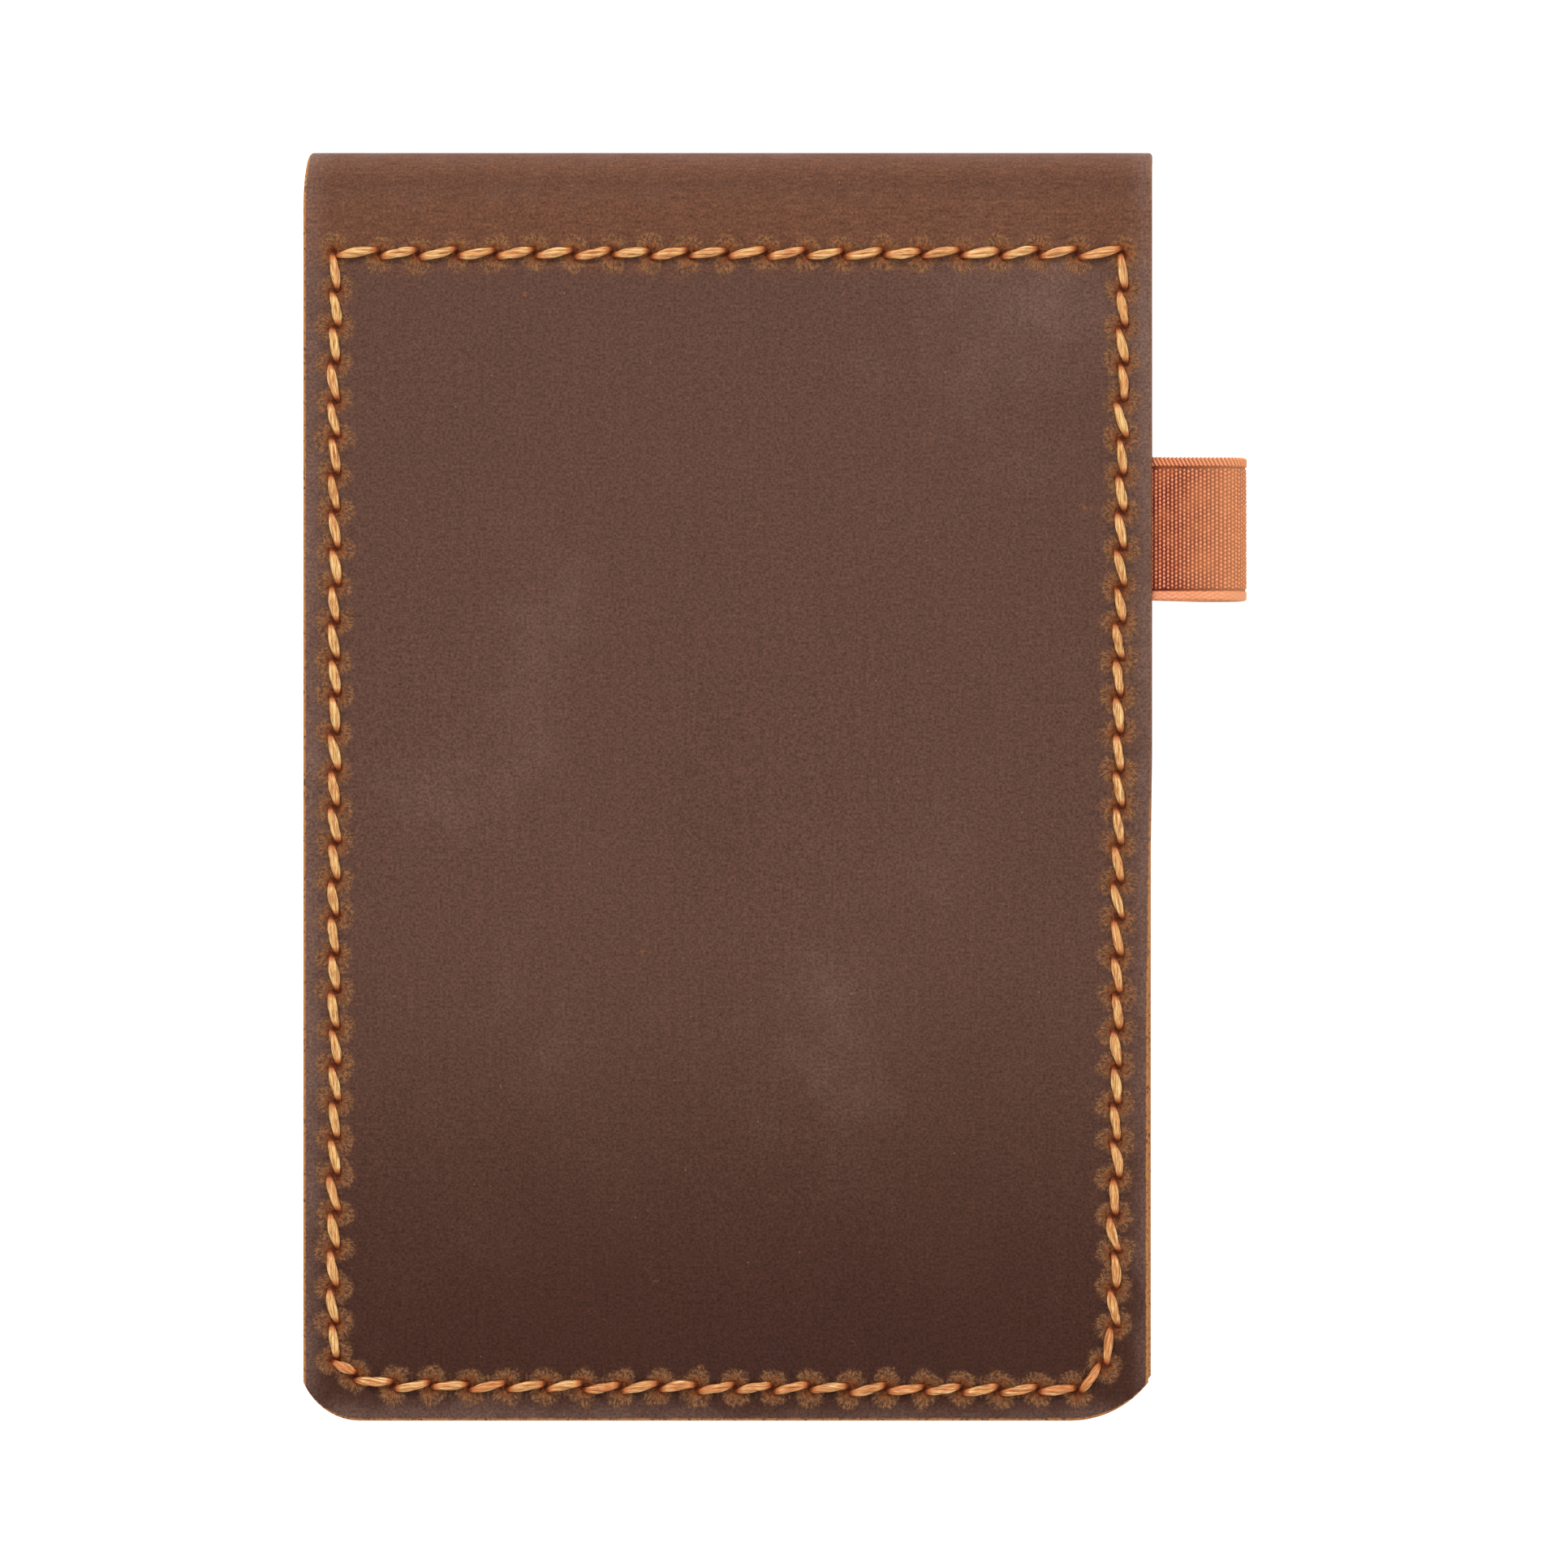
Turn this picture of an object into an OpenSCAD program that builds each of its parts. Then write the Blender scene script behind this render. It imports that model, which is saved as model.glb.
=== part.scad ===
// Leather notebook cover: a top-bound pad folder with an elastic pen loop.
// The closed cover lies on its back. +X is to the right, +Y runs towards the
// fold, +Z runs from the back panel to the front panel.
// The origin is the middle of the back panel's outer face.

/* [Cover] */
// Width of the cover, across the fold
cover_w = 92; // [91:0.5:100]
// Height of the closed cover, from its bottom edge to its fold
cover_h = 138; // [138:0.1:144]
// Thickness of the closed cover
closed_t = 14.4; // [14.4:0.1:16]
// Thickness of the outer leather
outer_t = 1.6; // [1.4:0.1:1.8]
// Thickness of the lining leather
lining_t = 1.2; // [1:0.1:1.2]
// Radius of the bottom left corner
corner_r_left = 6.3; // [4:0.1:8]
// Radius of the bottom right corner
corner_r_right = 7.9; // [4:0.1:8]
// How far the lining runs past the top row of stitches
lining_past_row = 3.2; // [2:0.1:4]

/* [Pockets] */
// Thickness of the pocket leather
pocket_t = 1; // [0.8:0.1:1]
// Height of the pad pocket on the back panel
pad_pocket_h = 62; // [40:1:64]
// Height of the card pocket on the front panel
card_pocket_h = 78; // [60:1:84]
// Radius of the thumb notch in each pocket
notch_r = 9; // [6:1:12]

/* [Stitching] */
// Distance of the left seam from the left edge
seam_in_left = 3.4; // [3:0.1:4]
// Distance of the right seam from the right edge, at the top
seam_in_right = 3.2; // [3:0.1:4]
// How much further in the right seam is at its lower end
seam_drift = 1; // [0:0.1:1.2]
// Distance of the top row of stitches from the fold's outer edge
seam_in_top = 11.5; // [11.3:0.1:12.5]
// Distance of the bottom row of stitches from the bottom edge, at the left
seam_in_bottom = 3.9; // [3.5:0.1:4.2]
// Stitches in the top row, between its two long end stitches
top_count = 18; // [14:1:20]
// Length of the two end stitches of the top row
top_end_stitch = 4.9; // [4:0.1:6]
// Stitches in the left column
left_count = 30; // [24:1:32]
// Stitches in the right column
right_count = 29; // [24:1:32]
// Stitches in the bottom row
bottom_count = 18; // [14:1:20]
// Width of the thread
thread_w = 1; // [0.8:0.1:1.1]
// Height of a stitch above the leather
thread_h = 0.45; // [0.3:0.05:0.45]

/* [Pen loop] */
// Width of the elastic
loop_w = 15.6; // [12:0.1:20]
// How far the loop stands out of the cover's side
loop_out = 10.15; // [9.6:0.05:14]
// Height of the loop's middle above the cover's mid-height
loop_y = 27.7; // [20:0.1:34]
// Thickness of the elastic
elastic_t = 0.7; // [0.6:0.05:0.7]
// Outer radius of the loop's round end
loop_r = 3.65; // [3.6:0.05:3.8]

/* [Memo pad] */
// Width of the pad
pad_w = 76.2; // [70:0.1:76.2]
// Height of the pad
pad_h = 127; // [120:0.1:127]
// Thickness of the stack of sheets
sheets_t = 4.8; // [3:0.1:4.8]
// Thickness of the backing board
board_t = 0.75; // [0.5:0.05:0.75]
// Height of the binding strip on the pad's face
binding_h = 11; // [8:1:14]
// Thickness of the binding strip
binding_t = 0.15; // [0.1:0.05:0.15]

/* [Hidden] */

leather = "#6b4a3e";
leather_inside = "#8a5a3c";
thread_tan = "#c98f5c";
elastic_rust = "#b9572f";
board_grey = "#9a8f80";
paper_cream = "#f3ecd8";
binding_brown = "#4a3428";

// Rounds have enough sides to be true circles in the exported solids
$fn = 96;

half_w = cover_w / 2;
y_bottom = -cover_h / 2;
fold_r = closed_t / 2;
y_fold = cover_h / 2 - fold_r;
y_top_row = cover_h / 2 - seam_in_top;
y_lining = y_top_row + lining_past_row;
depth_lining = outer_t + lining_t;
depth_pocket = depth_lining + pocket_t;
y_pad_pocket = y_bottom + pad_pocket_h;
y_card_pocket = y_bottom + card_pocket_h;

// The fold turns through half a circle. A quarter of it belongs to each panel,
// and the half between them is the spine, which bends away at a hinge line on
// the outer face at either end.
fold_hinge = 45;
// Half of the gap at a hinge line, as an angle of the fold
fold_gap = 0.8;

// Seam corners, on the leather's face. The two bottom corners are each turned
// in two stitches.
x_left = -half_w + seam_in_left;
x_right = half_w - seam_in_right;
x_right_low = x_right - seam_drift;
y_row_left = y_bottom + seam_in_bottom;
y_row_right = y_row_left - 0.6;
corner_left = [
  [x_left, y_row_left + 2.7],
  [x_left + 2.3, y_row_left + 1],
  [x_left + 6.4, y_row_left]
];
corner_right = [
  [x_right_low - 4.1, y_row_right],
  [x_right_low - 1.1, y_row_right + 2.9],
  [x_right_low, y_row_right + 7]
];

// A run of stitches is [first hole, last hole, stitches, owns first hole, owns last hole]
top_left_hole = [x_left, y_top_row];
top_right_hole = [x_right, y_top_row];
top_runs = [
  [top_left_hole, top_left_hole + [top_end_stitch, 0], 1, true, true],
  [top_left_hole + [top_end_stitch, 0], top_right_hole - [top_end_stitch, 0], top_count, true, true],
  [top_right_hole - [top_end_stitch, 0], top_right_hole, 1, true, true]
];
left_runs = [[top_left_hole, corner_left[0], left_count, false, false]];
right_runs = [[top_right_hole, corner_right[2], right_count, false, false]];
bottom_runs = [
  [corner_left[0], corner_left[1], 1, true, true],
  [corner_left[1], corner_left[2], 1, false, true],
  [corner_left[2], corner_right[0], bottom_count, false, true],
  [corner_right[0], corner_right[1], 1, false, true],
  [corner_right[1], corner_right[2], 1, false, true]
];
all_runs = concat(top_runs, left_runs, right_runs, bottom_runs);

// Thread legs through the leather, and the slits that they pass through
leg_l = 0.8;
slit_clear = 0.05;
// Where a run leaves a hole to its neighbour, its first stitch starts this far on
hole_clear = 0.85;
// Length of the slope at each end of a stitch
stitch_slope = 0.6;
// Depth of the groove that keeps the back panel's thread below its face
groove_t = 0.5;

// The elastic's ends lie half in the outer leather and half in the lining
tail_depth = outer_t - elastic_t;
tail_in = 5.5;
tail_clear = 0.1;
// The loop's mouth at the cover's edge, where its two runs come together
loop_start = 0.9;
mouth_wall = 0.6;
mouth_tip = 0.1;
loop_x = half_w + loop_out - loop_r;
loop_z = closed_t - tail_depth - loop_r;

// Levels of the pad, from the back panel's outer face up
board_clear = 0.65;
sheets_clear = 0.05;
z_board = depth_lining + board_clear;
z_sheets_top_end = z_board + board_t + sheets_clear;
pocket_room = 1.5;
z_pocket_in = depth_lining + pocket_room;
z_sheets_low_end = z_pocket_in + pocket_t + sheets_clear;
// How far the pad reaches into the fold
pad_in_fold = 3.2;
y_pad_top = y_fold + pad_in_fold;
y_pad_bottom = y_pad_top - pad_h;
// The sheets come down off the pocket over this stretch
y_step = y_pad_pocket + 5;
step_l = 12;
// The raised middle of the pad pocket
pad_side_room = 0.3;
pocket_wall = 0.9;

// Small amount that cutters run past a face
over = 1;

// ---------- helpers ----------

// Puts a panel drawn with its outer face at z = 0 and its body below on the front
module on_front() {
  translate([0, 0, closed_t]) children();
}

// The same for the back panel, which faces down
module on_back() {
  mirror([0, 0, 1]) children();
}

// A layer of leather between two depths below the panel's outer face
module layer(depth_0, depth_1) {
  translate([0, 0, -depth_1]) linear_extrude(depth_1 - depth_0) children();
}

// The piece that rounding takes off a bottom corner
module corner_waste(r) {
  difference() {
    translate([-over, -over]) square([r + over, r + over]);
    translate([r, r]) circle(r);
  }
}

// A panel's outline from the bottom edge up to y_end, with round bottom corners
module panel_outline(y_end) {
  difference() {
    translate([-half_w, y_bottom]) square([cover_w, y_end - y_bottom]);
    translate([-half_w, y_bottom]) corner_waste(corner_r_left);
    translate([half_w, y_bottom]) mirror([1, 0]) corner_waste(corner_r_right);
  }
}

// Turns a drawing in Y and Z into a solid that runs across the cover
module across(width) {
  translate([-width / 2, 0, 0]) rotate([90, 0, 90]) linear_extrude(width) children();
}

// A stretch of the fold between two angles, measured from +Y towards +Z
module fold_strip(angle_0, angle_1) {
  reach = 2 * fold_r;
  translate([0, y_fold, fold_r]) across(cover_w)
    intersection() {
      difference() {
        circle(fold_r);
        circle(fold_r - outer_t);
      }
      polygon([
        [0, 0],
        [reach * cos(angle_0), reach * sin(angle_0)],
        [reach * cos(angle_1), reach * sin(angle_1)]
      ]);
    }
}

// Places children at the first hole of a run, with X along the run
module at_run(run) {
  step = run[1] - run[0];
  translate([run[0][0], run[0][1], 0]) rotate([0, 0, atan2(step[1], step[0])]) children();
}

// Slits through all layers for the holes of a list of runs
module slits(runs) {
  size = [leg_l + 2 * slit_clear, thread_w + 2 * slit_clear, 4 * depth_pocket];
  for (run = runs) {
    pitch = norm(run[1] - run[0]) / run[2];
    first = run[3] ? 0 : 1;
    last = run[4] ? run[2] : run[2] - 1;
    at_run(run)
      for (i = [first : last])
        translate([i * pitch, 0, 0]) cube(size, center = true);
  }
}

// A run of saddle stitching from the side: stitches on both faces and legs between.
// The inner face is at pocket depth below y_pocket and at lining depth above it.
module run_side(run, v_outer, y_pocket) {
  count = run[2];
  pitch = norm(run[1] - run[0]) / count;
  rise = (run[1][1] - run[0][1]) / count;
  function face(i) = run[0][1] + i * rise < y_pocket ? -depth_pocket : -depth_lining;
  function inner(i) = min(face(i), face(i + 1));
  function from(i) = i * pitch + (i == 0 && !run[3] ? hole_clear : 0);
  function to(i) = (i + 1) * pitch - (i == count - 1 && !run[4] ? hole_clear : 0);
  first_end = run[3] ? -leg_l / 2 : from(0);
  last_end = run[4] ? count * pitch + leg_l / 2 : to(count - 1);
  top_edge = [
    for (i = [0 : count - 1])
      each [
        [from(i), v_outer], [from(i) + stitch_slope, v_outer + thread_h],
        [to(i) - stitch_slope, v_outer + thread_h], [to(i), v_outer]
      ]
  ];
  bottom_edge = [
    for (i = [count - 1 : -1 : 0])
      each [
        [to(i), inner(i)], [to(i) - stitch_slope, inner(i) - thread_h],
        [from(i) + stitch_slope, inner(i) - thread_h], [from(i), inner(i)]
      ]
  ];
  ends_right = [[last_end, v_outer], [last_end, inner(count - 1)]];
  ends_left = [[first_end, inner(0)], [first_end, v_outer]];
  difference() {
    polygon(concat(top_edge, ends_right, bottom_edge, ends_left));
    for (i = [0 : count - 1]) {
      u_0 = i == 0 && !run[3] ? -over : i * pitch + leg_l / 2;
      u_1 = i == count - 1 && !run[4] ? (i + 1) * pitch + over : (i + 1) * pitch - leg_l / 2;
      translate([u_0, inner(i)]) square([u_1 - u_0, v_outer - inner(i)]);
    }
  }
}

// The thread of a list of runs
module thread(runs, v_outer, y_pocket) {
  color(thread_tan)
    for (run = runs)
      at_run(run)
        rotate([90, 0, 0]) linear_extrude(thread_w, center = true) run_side(run, v_outer, y_pocket);
}

// A groove along a list of runs in the back panel's outer face
module grooves(runs) {
  for (run = runs)
    at_run(run)
      translate([-leg_l, -thread_w / 2 - slit_clear, -groove_t])
        cube([norm(run[1] - run[0]) + 2 * leg_l, thread_w + 2 * slit_clear, groove_t + over]);
}

// The bed of the elastic's ends in the right seam
module tail_bed() {
  bed_x = half_w - tail_in - tail_clear;
  bed_y = loop_y - loop_w / 2 - tail_clear;
  translate([bed_x, bed_y, -tail_depth - 2 * elastic_t])
    cube([tail_in + tail_clear + over, loop_w + 2 * tail_clear, 2 * elastic_t]);
}

module thumb_notch(y_edge) {
  translate([0, y_edge, -2 * closed_t]) cylinder(r = notch_r, h = 4 * closed_t);
}

// ---------- outer leather ----------

module back_cover() {
  color(leather)
    difference() {
      union() {
        on_back() layer(0, outer_t) panel_outline(y_fold);
        fold_strip(-90, -fold_hinge - fold_gap);
      }
      on_back() slits(all_runs);
      on_back() grooves(all_runs);
    }
}

module spine() {
  color(leather) fold_strip(-fold_hinge + fold_gap, fold_hinge - fold_gap);
}

module front_cover() {
  color(leather)
    difference() {
      union() {
        on_front() layer(0, outer_t) panel_outline(y_fold);
        fold_strip(fold_hinge + fold_gap, 90);
      }
      on_front() slits(all_runs);
      on_front() tail_bed();
    }
}

// ---------- lining and pockets ----------

module back_lining() {
  color(leather_inside)
    on_back()
      difference() {
        layer(outer_t, depth_lining) panel_outline(y_lining);
        slits(all_runs);
      }
}

module front_lining() {
  color(leather_inside)
    on_front()
      difference() {
        layer(outer_t, depth_lining) panel_outline(y_lining);
        slits(all_runs);
        tail_bed();
      }
}

// The pad pocket is raised in the middle, which leaves room for the pad's board
module pad_pocket() {
  room_w = pad_w + 2 * pad_side_room;
  room_y = y_pad_bottom - pad_side_room;
  color(leather_inside)
    on_back()
      difference() {
        union() {
          layer(depth_lining, depth_pocket) panel_outline(y_pad_pocket);
          layer(depth_lining, z_pocket_in + pocket_t)
            translate([-room_w / 2 - pocket_wall, room_y - pocket_wall])
              square([room_w + 2 * pocket_wall, y_pad_pocket - room_y + pocket_wall]);
        }
        layer(depth_lining - over, z_pocket_in)
          translate([-room_w / 2, room_y]) square([room_w, y_pad_pocket - room_y + over]);
        slits(all_runs);
        thumb_notch(y_pad_pocket);
      }
}

module card_pocket() {
  color(leather_inside)
    on_front()
      difference() {
        layer(depth_lining, depth_pocket) panel_outline(y_card_pocket);
        slits(all_runs);
        thumb_notch(y_card_pocket);
      }
}

// ---------- thread ----------

// The back panel's thread lies in its groove, and the front panel's on its face
module back_thread(runs) {
  on_back() thread(runs, -groove_t, y_pad_pocket);
}

module front_thread(runs) {
  on_front() thread(runs, 0, y_card_pocket);
}

module back_thread_top() {
  back_thread(top_runs);
}

module back_thread_left() {
  back_thread(left_runs);
}

module back_thread_right() {
  back_thread(right_runs);
}

module back_thread_bottom() {
  back_thread(bottom_runs);
}

module front_thread_top() {
  front_thread(top_runs);
}

module front_thread_left() {
  front_thread(left_runs);
}

module front_thread_right() {
  front_thread(right_runs);
}

module front_thread_bottom() {
  front_thread(bottom_runs);
}

// ---------- pen loop ----------

// The free part of the elastic: flat on top, and round at its far end
module pen_loop() {
  mouth_x = half_w + loop_start;
  mouth_z = closed_t - tail_depth - 2 * elastic_t;
  color(elastic_rust)
    translate([0, loop_y + loop_w / 2, 0]) rotate([90, 0, 0]) linear_extrude(loop_w)
      difference() {
        hull() {
          translate([loop_x, loop_z]) circle(loop_r);
          translate([mouth_x, mouth_z]) square([mouth_tip, 2 * elastic_t]);
        }
        hull() {
          translate([loop_x, loop_z]) circle(loop_r - elastic_t);
          translate([mouth_x + mouth_wall, mouth_z + elastic_t - mouth_tip / 2]) square(mouth_tip);
        }
      }
}

// The two ends of the elastic, sewn into the right seam
module pen_loop_tails() {
  color(elastic_rust)
    on_front()
      difference() {
        translate([half_w - tail_in, loop_y - loop_w / 2, -tail_depth - 2 * elastic_t])
          cube([tail_in, loop_w, 2 * elastic_t]);
        slits(right_runs);
      }
}

// ---------- memo pad ----------

module pad_board() {
  color(board_grey)
    translate([-pad_w / 2, y_pad_bottom, z_board]) cube([pad_w, pad_h, board_t]);
}

// The sheets lie over the pocket at their lower end and on the board at the top
module pad_sheets() {
  color(paper_cream)
    across(pad_w)
      polygon([
        [y_pad_bottom, z_sheets_low_end],
        [y_step, z_sheets_low_end],
        [y_step + step_l, z_sheets_top_end],
        [y_pad_top, z_sheets_top_end],
        [y_pad_top, z_sheets_top_end + sheets_t],
        [y_step + step_l, z_sheets_top_end + sheets_t],
        [y_step, z_sheets_low_end + sheets_t],
        [y_pad_bottom, z_sheets_low_end + sheets_t]
      ]);
}

// The binding strip wraps the pad's top end from the board to the first sheet
module pad_binding() {
  z_top = z_sheets_top_end + sheets_t;
  color(binding_brown)
    across(pad_w)
      difference() {
        translate([y_pad_top - binding_h, z_board - binding_t])
          square([binding_h + binding_t, z_top - z_board + 2 * binding_t]);
        translate([y_pad_top - binding_h - over, z_board]) square([binding_h + over, z_top - z_board]);
      }
}

back_cover();
spine();
front_cover();
back_lining();
front_lining();
pad_pocket();
card_pocket();
back_thread_top();
back_thread_left();
back_thread_right();
back_thread_bottom();
front_thread_top();
front_thread_left();
front_thread_right();
front_thread_bottom();
pen_loop();
pen_loop_tails();
pad_board();
pad_sheets();
pad_binding();
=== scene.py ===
"""Looks of the leather notebook cover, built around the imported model.

Leather coordinates are x across the cover and s along the hide, in metres. On the front half, s runs
from the bottom edge up to the fold and half way round it; the back half mirrors it. Depth is measured
from the hide's outer face inwards.
"""

import math

import bmesh
import bpy
import numpy as np
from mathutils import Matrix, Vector


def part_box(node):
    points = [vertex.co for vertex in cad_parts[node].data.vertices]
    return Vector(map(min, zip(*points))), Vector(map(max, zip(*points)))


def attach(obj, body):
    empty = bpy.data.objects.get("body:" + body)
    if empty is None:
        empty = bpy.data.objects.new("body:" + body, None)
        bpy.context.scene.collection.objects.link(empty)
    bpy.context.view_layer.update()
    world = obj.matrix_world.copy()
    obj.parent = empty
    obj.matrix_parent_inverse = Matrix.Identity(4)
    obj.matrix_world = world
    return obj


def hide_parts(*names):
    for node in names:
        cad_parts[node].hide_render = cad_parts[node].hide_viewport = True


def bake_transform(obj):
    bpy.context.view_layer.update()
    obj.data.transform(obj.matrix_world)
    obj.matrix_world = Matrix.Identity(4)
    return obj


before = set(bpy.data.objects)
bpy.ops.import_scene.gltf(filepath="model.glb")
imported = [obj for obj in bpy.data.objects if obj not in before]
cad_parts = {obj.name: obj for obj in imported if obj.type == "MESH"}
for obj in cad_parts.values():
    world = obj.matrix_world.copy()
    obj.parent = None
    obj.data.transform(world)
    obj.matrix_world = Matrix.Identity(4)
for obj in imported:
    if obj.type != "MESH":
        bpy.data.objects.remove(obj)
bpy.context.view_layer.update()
MM = 0.001
rng = np.random.default_rng(7)

# ---- sizes from the frame

back_lo, back_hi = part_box("back_cover")
front_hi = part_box("front_cover")[1]
HALF_W = back_hi.x
Y_BOTTOM = back_lo.y
CLOSED_T = front_hi.z
FOLD_R = CLOSED_T / 2
Y_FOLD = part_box("spine")[1].y - FOLD_R
OUTER_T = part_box("back_lining")[0].z
LINING_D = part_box("back_lining")[1].z
POCKET_D = CLOSED_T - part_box("card_pocket")[0].z
Y_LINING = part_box("front_lining")[1].y
Y_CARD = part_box("card_pocket")[1].y
Y_PAD_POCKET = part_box("pad_pocket")[1].y
S_FOLD = Y_FOLD - Y_BOTTOM
S_TOP = S_FOLD + FOLD_R * math.pi / 2

thread_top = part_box("front_thread_top")
thread_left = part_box("front_thread_left")
thread_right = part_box("front_thread_right")
LEG = 0.4 * MM
HALF_THREAD = 0.5 * MM
X_SEAM_LEFT = (thread_left[0].x + thread_left[1].x) / 2
X_SEAM_RIGHT = thread_top[1].x - LEG
X_SEAM_RIGHT_LOW = thread_right[0].x + HALF_THREAD
Y_SEAM_TOP = (thread_top[0].y + thread_top[1].y) / 2
Y_SEAM_LEFT = Y_BOTTOM + 3.9 * MM
Y_SEAM_RIGHT = Y_SEAM_LEFT - 0.6 * MM

# Lower left and right corners: the arc's radius, and how far it would run past the side
CORNERS = ((6.7 * MM, 0.45 * MM), (10.7 * MM, 1.8 * MM))
NOTCH_R = 9 * MM
POCKET_INSET = 0.1 * MM
# How far holes are out of line, and how far their slits lean, sideways for each step along
WOBBLE = 0.06 * MM
SLIT_LEAN = 0.45
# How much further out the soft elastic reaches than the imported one
LOOP_SLACK = 0.4 * MM
# How far the fold leans to the right in its middle, as one folded by hand
SKEW = 0.4 * MM
# How far the table lies under the back panel, to clear its stitches
TABLE_GAP = 0.3 * MM
STRANDS = 4
# A distance in millimetres that stands for no hole near
FAR = 50.0

# ---- seams


def run(first, last, count):
    """Holes of a run of stitches, both ends included."""
    return [np.array(first) + (np.array(last) - np.array(first)) * i / count for i in range(count + 1)]


def seam_rows():
    """Rows of holes, by the name of the side that they are on."""
    left, right, low = X_SEAM_LEFT, X_SEAM_RIGHT, X_SEAM_RIGHT_LOW
    top, base_l, base_r = Y_SEAM_TOP, Y_SEAM_LEFT, Y_SEAM_RIGHT
    long = 4.9 * MM
    corner_l = [(left, base_l + 2.7 * MM), (left + 2.3 * MM, base_l + 1.0 * MM), (left + 6.4 * MM, base_l)]
    corner_r = [(low - 4.1 * MM, base_r), (low - 1.1 * MM, base_r + 2.9 * MM), (low, base_r + 7 * MM)]
    top_row = [np.array((left, top))] + run((left + long, top), (right - long, top), 18)
    top_row.append(np.array((right, top)))
    bottom_row = [np.array(corner_l[0]), np.array(corner_l[1])] + run(corner_l[2], corner_r[0], 18)
    bottom_row += [np.array(corner_r[1]), np.array(corner_r[2])]
    return {
        "top": top_row,
        "left": run((left, top), corner_l[0], 30),
        "right": run((right, top), corner_r[2], 29),
        "bottom": bottom_row,
    }


ROWS = seam_rows()


def wobbled(rows, amount):
    """The same holes, each a little out of line, as in hand sewing. Shared corner holes stay shared."""
    moved = {}
    return {
        side: [moved.setdefault(tuple(np.round(p, 6)), p + rng.normal(0, amount, 2)) for p in holes]
        for side, holes in rows.items()
    }


FRONT_ROWS = wobbled(ROWS, WOBBLE)
BACK_ROWS = wobbled(ROWS, WOBBLE)


def hole_list(rows):
    """(place, direction along the seam) of each hole, once each."""
    seen, holes = set(), []
    for points in rows.values():
        for i, p in enumerate(points):
            key = tuple(np.round(p, 6))
            if key in seen:
                continue
            seen.add(key)
            along = points[min(i + 1, len(points) - 1)] - points[max(i - 1, 0)]
            holes.append((p, along / np.linalg.norm(along)))
    return holes


def stitch_list(rows):
    """The pair of holes of each stitch."""
    return [(a, b) for points in rows.values() for a, b in zip(points[:-1], points[1:])]


# ---- places on the hide


def on_front(x, s, depth):
    """Points of the front half of the hide."""
    angle = math.pi / 2 - np.clip(s - S_FOLD, 0, None) / FOLD_R
    flat = s <= S_FOLD
    x = x + np.where(flat, 0, SKEW * (1 - np.sin(angle)))
    y = np.where(flat, Y_BOTTOM + s, Y_FOLD + (FOLD_R - depth) * np.cos(angle))
    z = np.where(flat, CLOSED_T - depth, FOLD_R + (FOLD_R - depth) * np.sin(angle))
    return np.stack([x + 0 * s, y + 0 * x, z + 0 * x], axis=-1)


def on_back(x, s, depth):
    """Points of the back half of the hide."""
    points = on_front(x, s, depth)
    points[..., 2] = CLOSED_T - points[..., 2]
    return points


def grain_front(x, s, depth):
    """Coordinates of the unrolled hide, the same on both sides of every cut."""
    return np.stack([x, s, depth], axis=-1)


def grain_back(x, s, depth):
    """The same for the back half, which carries on where the front half ends."""
    return np.stack([x, 2 * S_TOP - s, depth], axis=-1)


def corner_round(x, s, left, bottom, corners, right):
    """Turns the two bottom corners of a rectangle into arcs. Each corner is its arc's radius and how far the
    arc would run past the side, which leaves a slight angle where the two meet."""
    s = s.copy()
    for side, edge, (radius, past) in ((-1, left, corners[0]), (1, right, corners[1])):
        centre = edge - side * (radius - past)
        a = np.clip(side * (x - centre), 0, radius)
        b = np.clip(bottom + radius - s, 0, None)
        s = np.where((a > 0) & (b > 0), bottom + radius - b * np.sqrt(1 - (a / radius) ** 2), s)
    return x, s


def grid_lines(lo, hi, step, bands=(), ends=(True, True), extra=()):
    """Grid lines from lo to hi: step apart, half as far in a band, and close together at an edge."""
    edge = [e * MM for e in (0.04, 0.1, 0.18, 0.28, 0.4, 0.55, 0.75)]
    start = lo + (edge[-1] if ends[0] else 0)
    stop = hi - (edge[-1] if ends[1] else 0)
    marks = {lo, hi, *extra}
    if ends[0]:
        marks |= {lo + e for e in edge}
    if ends[1]:
        marks |= {hi - e for e in edge}
    place = start
    while place < stop - step / 3:
        place += step / 2 if any(a < place < b for a, b in bands) else step
        if place < stop - step / 3:
            marks.add(place)
    return np.array(sorted(marks))


# ---- relief of the seams


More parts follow.
